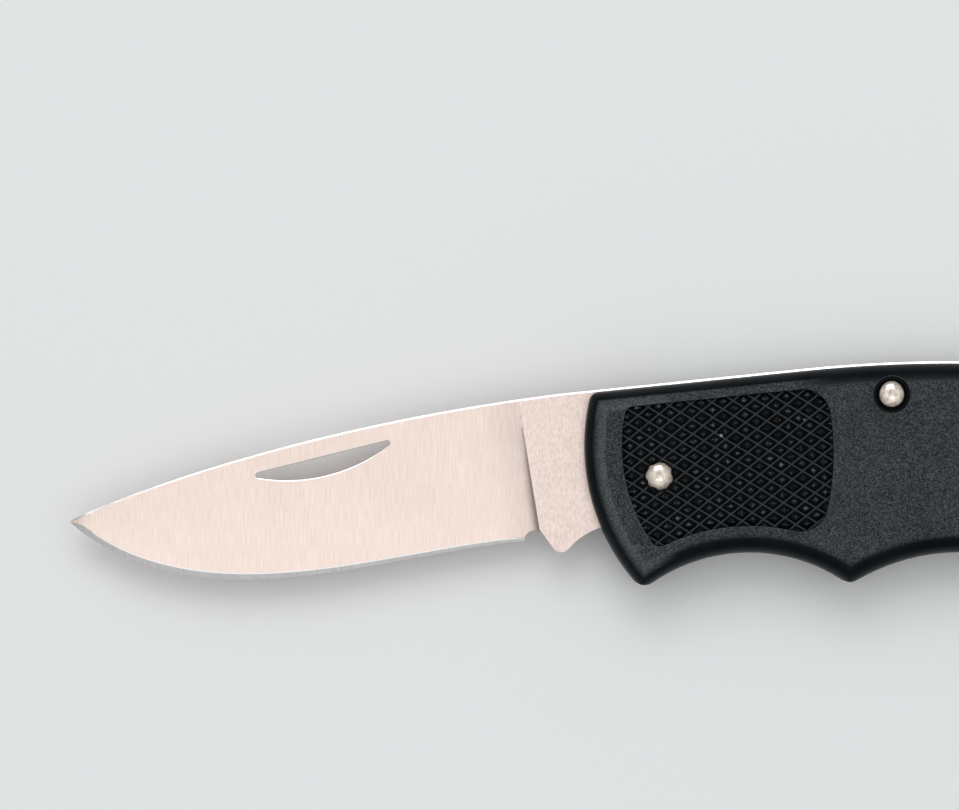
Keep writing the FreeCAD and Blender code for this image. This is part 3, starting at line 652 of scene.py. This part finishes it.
def smoothCove(bm, chamfer, stock):
    # one even hollow from the ground face up to the plunge line
    form = bladeForm
    tree = BVHTree.FromBMesh(bm)
    down = Vector((0, 0, -1))
    (topX, topY), (lowX, lowY) = form["plungeTop"], form["plungeLow"]
    width = form["plungeWidth"]
    seams = []
    for vert in bm.verts:
        at = vert.co - pivot
        line = topX + (lowX - topX) * (at.y - topY) / (lowY - topY)
        share = 1 - (line - at.x) / width
        if not form["coveStart"] < share < 1:
            continue
        if any(face in chamfer or face.material_index == ricassoFace for face in vert.link_faces):
            continue
        run = at.x - line + width * form["coveFoot"]
        foot = tree.ray_cast(Vector((vert.co.x - run, vert.co.y - run * form["backSlope"], 1)), down)[0]
        if foot is None or foot.z < pivot.z:
            continue
        rise = 1 - (1 - max(share, 0) ** form["coveCurve"]) ** 0.5
        half = (foot.z - pivot.z) * (1 - rise) + stock * rise
        if abs(abs(at.z) - half) < form["coveCatch"]:
            vert.co.z = pivot.z + math.copysign(half, at.z)
            if share < form["seamShare"]:
                seams.append(vert)
    bmesh.ops.remove_doubles(bm, verts=seams, dist=form["seamGap"])
    bm.normal_update()


def makeBlade():
    form = bladeForm
    bm = mergedCopy("blade")
    low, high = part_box("blade")
    stock = (high.z - low.z) / 2
    chamfer = backChamfer(bm)
    for face in bm.faces:
        centre = face.calc_center_median()
        flat = abs(face.normal.z) > form["tangLevel"] and abs(centre.z - pivot.z) > stock - form["tangGap"]
        if flat and centre.x > pivot.x - form["groundReach"]:
            face.material_index = ricassoFace
    smoothCove(bm, chamfer, stock)
    # the chamfer takes the paler lip steel, a painted highlight
    for face in chamfer:
        face.material_index = lipFace
    flattenChamfer(chamfer, form["chamferKeep"])
    cutting = [edge for edge in bm.edges if len(edge.link_faces) == 2
               and edge.link_faces[0].normal.z * edge.link_faces[1].normal.z < form["edgeFold"]]
    least, most = form["bevelLean"]
    bevel = grownFrom({face for edge in cutting for face in edge.link_faces},
                      lambda face: least < abs(face.normal.z) < most, form["bevelTurn"])
    # the bevel takes the darker steel, a painted shade
    for face in bevel:
        face.material_index = bevelFace
    for run in connectedRuns([face for face in bm.faces if abs(face.normal.z) < form["slotWall"]]):
        if all(face.calc_center_median().x < pivot.x - form["slotReach"] for face in run):
            if not any(other in chamfer for face in run for edge in face.edges for other in edge.link_faces):
                breakLips(bm, run)
    drawEdgeLine(bm, bevel, low.x)
    sharpenEdges(bm, form["sharpAngle"])
    finishPiece(bm, "bladeGround", "blade", "blade", [bladeSteel, ricassoSteel, bevelShadedSteel, lipHighlightSteel])


makeBlade()
print("blade ground")


# lock bar

barForm = {"chamferKeep": 0.4, "sharpAngle": 32}


def makeLockBar():
    bm = mergedCopy("lock_bar")
    chamfer = backChamfer(bm)
    for face in chamfer:
        face.material_index = 1       # the polished one of the two steels below, paler as a painted highlight
    flattenChamfer(chamfer, barForm["chamferKeep"])
    sharpenEdges(bm, barForm["sharpAngle"])
    finishPiece(bm, "lockBarGround", "lock_bar", "lock_bar", [barSteel, lipHighlightSteel])


makeLockBar()
print("lock bar ground")


# lock spring

springForm = {"root": (66.0 * mm, 5.9 * mm), "tip": (52.4 * mm, 11.6 * mm), "sharpAngle": 40}


def makeSpring():
    # a copy of the spring leaf, which runs from the spacer to where it presses the bar
    bm = mergedCopy("lock_spring")
    sharpenEdges(bm, springForm["sharpAngle"])
    obj = finishPiece(bm, "lockSpringLeaf", "lock_spring", None, [linerSteel])
    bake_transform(obj)


makeSpring()
print("lock spring set")


# scales

scaleForm = {
    "lip": 0.13 * mm,             # softened mouth of the panel's recess and of the rivets' counterbores
    "lipHeight": 5.0 * mm,        # the mouths lie farther than this from the middle plane
    "lipTurn": 40,
    "wallLean": 0.3,              # a mouth has an upright wall, a crease between two rounds has none
    "lipEnd": 84 * mm,            # the butt's own corner stays crisp
    "flatLevel": 0.9999,
    "sharpAngle": 35,
}


def isMouth(edge):
    form = scaleForm
    if len(edge.link_faces) != 2 or not edge.is_convex:
        return False
    outer = min(abs(vert.co.z - pivot.z) for vert in edge.verts) > form["lipHeight"]
    steep = edge.calc_face_angle() > math.radians(form["lipTurn"])
    walled = min(abs(face.normal.z) for face in edge.link_faces) < form["wallLean"]
    return outer and steep and walled and max(vert.co.x for vert in edge.verts) < form["lipEnd"]


def makeScale(node, name):
    bm = mergedCopy(node)
    softenEdges(bm, [edge for edge in bm.edges if isMouth(edge)], scaleForm["lip"], 1)       # 1 is the mouths' plastic, paler as a painted highlight
    bm.normal_update()
    sharpenEdges(bm, scaleForm["sharpAngle"])
    for edge in bm.edges:
        level = [abs(face.normal.z) > scaleForm["flatLevel"] for face in edge.link_faces]
        if any(level) and not all(level):
            edge.smooth = False
    finishPiece(bm, name, node, "handle", [scalePlastic, mouthPaintedHighlightPlastic])


makeScale("front_scale", "frontScaleMoulding")
makeScale("back_scale", "backScaleMoulding")
print("scales moulded")


# rivets

rivetForm = {
    "steps": 56,
    "postRadius": 1.55 * mm, "capRadius": 0.83 * mm,
    "boreRadius": 0.85 * mm, "boreDepth": 5.0 * mm,       # the post's, which the cap is pressed into
    "headHeight": 1.43 * mm,
    "crown": [(1.0, 0.0), (1.0, 0.43), (0.99, 0.49), (0.965, 0.55), (0.92, 0.625), (0.85, 0.71), (0.76, 0.795),
              (0.66, 0.87), (0.56, 0.925), (0.47, 0.965), (0.4, 0.988), (0.34, 1.0), (0.28, 0.99), (0.22, 0.96),
              (0.16, 0.93), (0.08, 0.915), (0.0, 0.915)],       # shares of the head's radius and height
    "dentFrom": 0.5, "dentReach": 0.5, "dentDepth": 0.1 * mm, "dentSize": 0.24 * mm,
    "sharpAngle": 50,
}


def makeRivet(node, name, front):
    form = rivetForm
    low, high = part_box(node)
    centre = Vector(((low.x + high.x) / 2, (low.y + high.y) / 2, 0))
    headRadius = (high.x - low.x) / 2
    if front:
        way, far, seat, shank = 1, low.z, high.z - form["headHeight"], form["postRadius"]
        bore, boreTop = form["boreRadius"], far + form["boreDepth"]
        profile = [(0, boreTop), (bore, boreTop), (bore, far)]
    else:
        way, far, seat, shank = -1, high.z, low.z + form["headHeight"], form["capRadius"]
        profile = [(0, far)]
    profile += [(shank, far), (shank, seat)]
    profile += [(r * headRadius, seat + way * h * form["headHeight"]) for r, h in form["crown"]]
    bm = bmesh.new()
    verts = [bm.verts.new((centre.x + r, centre.y, z)) for r, z in profile]
    edges = [bm.edges.new(pair) for pair in zip(verts, verts[1:])]
    bmesh.ops.spin(bm, geom=verts + edges, cent=centre, axis=(0, 0, 1), angle=math.tau, steps=form["steps"],
                   use_merge=True, use_duplicate=False)
    bmesh.ops.remove_doubles(bm, verts=bm.verts, dist=meshCare["mergeGap"])
    bmesh.ops.recalc_face_normals(bm, faces=bm.faces)
    for vert in bm.verts:
        away = (vert.co.xy - centre.xy).length / headRadius
        rise = (vert.co.z - seat) * way / form["headHeight"]
        if rise > form["dentFrom"] and away < form["dentReach"]:
            fade = 1 - (away / form["dentReach"]) ** 2
            dent = noise.noise(vert.co / form["dentSize"]) * form["dentDepth"] * fade
            vert.co.z -= way * abs(dent)
    sharpenEdges(bm, form["sharpAngle"])
    finishPiece(bm, name, node, "handle", [rivetSteel])


for spot in ("pivot", "lock_bar", "tail"):
    makeRivet(spot + "_rivet", spot + "RivetHead", True)
    makeRivet(spot + "_rivet_cap", spot + "RivetCap", False)
print("rivets peened")
